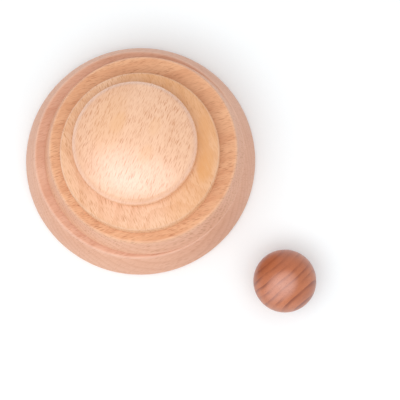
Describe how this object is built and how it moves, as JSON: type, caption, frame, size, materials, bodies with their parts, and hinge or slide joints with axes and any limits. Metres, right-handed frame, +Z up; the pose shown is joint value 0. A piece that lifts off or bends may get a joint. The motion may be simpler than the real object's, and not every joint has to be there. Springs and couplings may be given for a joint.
{
  "type": "stacking baby rattle",
  "caption": "Wooden stacking rattle: hollow turned cups stood mouth down in a tower, a domed sealed drum of loose beads on top, and a separate ball.",
  "frame": {"origin": "middle of the footprint of the tower and the ball together, on the surface that they stand on", "axes": "+Z up the tower's axis; the ball lies towards +X and -Y of the tower"},
  "size_m": [0.2108, 0.1968, 0.1009],
  "materials": {
    "pink_beech": "oiled, satin",
    "orange_beech": "oiled, satin",
    "yellow_beech": "oiled, satin",
    "pale_beech": "oiled, satin",
    "bead_wood": "bare, tumbled",
    "red_wood": "oiled, satin"
  },
  "bodies": {
    "base": {"base_cup": "pink_beech"},
    "middle": {"middle_cup": "orange_beech"},
    "upper": {"upper_cup": "yellow_beech"},
    "rattle": {"rattle_dome": "pale_beech", "rattle_floor": "pale_beech"},
    "loose_bead_1": {"bead_1": "bead_wood"},
    "loose_bead_2": {"bead_2": "bead_wood"},
    "loose_bead_3": {"bead_3": "bead_wood"},
    "loose_bead_4": {"bead_4": "bead_wood"},
    "loose_bead_5": {"bead_5": "bead_wood"},
    "loose_bead_6": {"bead_6": "bead_wood"},
    "loose_bead_7": {"bead_7": "bead_wood"},
    "loose_ball": {"ball": "red_wood"}
  },
  "joints": [
    {"name": "middle_cup_lift", "type": "slide", "parent": "base", "child": "middle", "axis": [0, 0, 1], "range_m": [0, 0.06]},
    {"name": "upper_cup_lift", "type": "slide", "parent": "middle", "child": "upper", "axis": [0, 0, 1], "range_m": [0, 0.05]},
    {"name": "rattle_lift", "type": "slide", "parent": "upper", "child": "rattle", "axis": [0, 0, 1], "range_m": [0, 0.05]},
    {"name": "ball_lift", "type": "slide", "parent": "base", "child": "loose_ball", "axis": [0, 0, 1], "range_m": [0, 0.06]},
    {"name": "bead_1_hop", "type": "slide", "parent": "rattle", "child": "loose_bead_1", "axis": [0, 0, 1], "range_m": [0, 0.0036]},
    {"name": "bead_2_hop", "type": "slide", "parent": "rattle", "child": "loose_bead_2", "axis": [0, 0, 1], "range_m": [0, 0.0036]},
    {"name": "bead_3_hop", "type": "slide", "parent": "rattle", "child": "loose_bead_3", "axis": [0, 0, 1], "range_m": [0, 0.0036]},
    {"name": "bead_4_hop", "type": "slide", "parent": "rattle", "child": "loose_bead_4", "axis": [0, 0, 1], "range_m": [0, 0.0036]},
    {"name": "bead_5_hop", "type": "slide", "parent": "rattle", "child": "loose_bead_5", "axis": [0, 0, 1], "range_m": [0, 0.0036]},
    {"name": "bead_6_hop", "type": "slide", "parent": "rattle", "child": "loose_bead_6", "axis": [0, 0, 1], "range_m": [0, 0.0036]},
    {"name": "bead_7_hop", "type": "slide", "parent": "rattle", "child": "loose_bead_7", "axis": [0, 0, 1], "range_m": [0, 0.0055]}
  ]
}
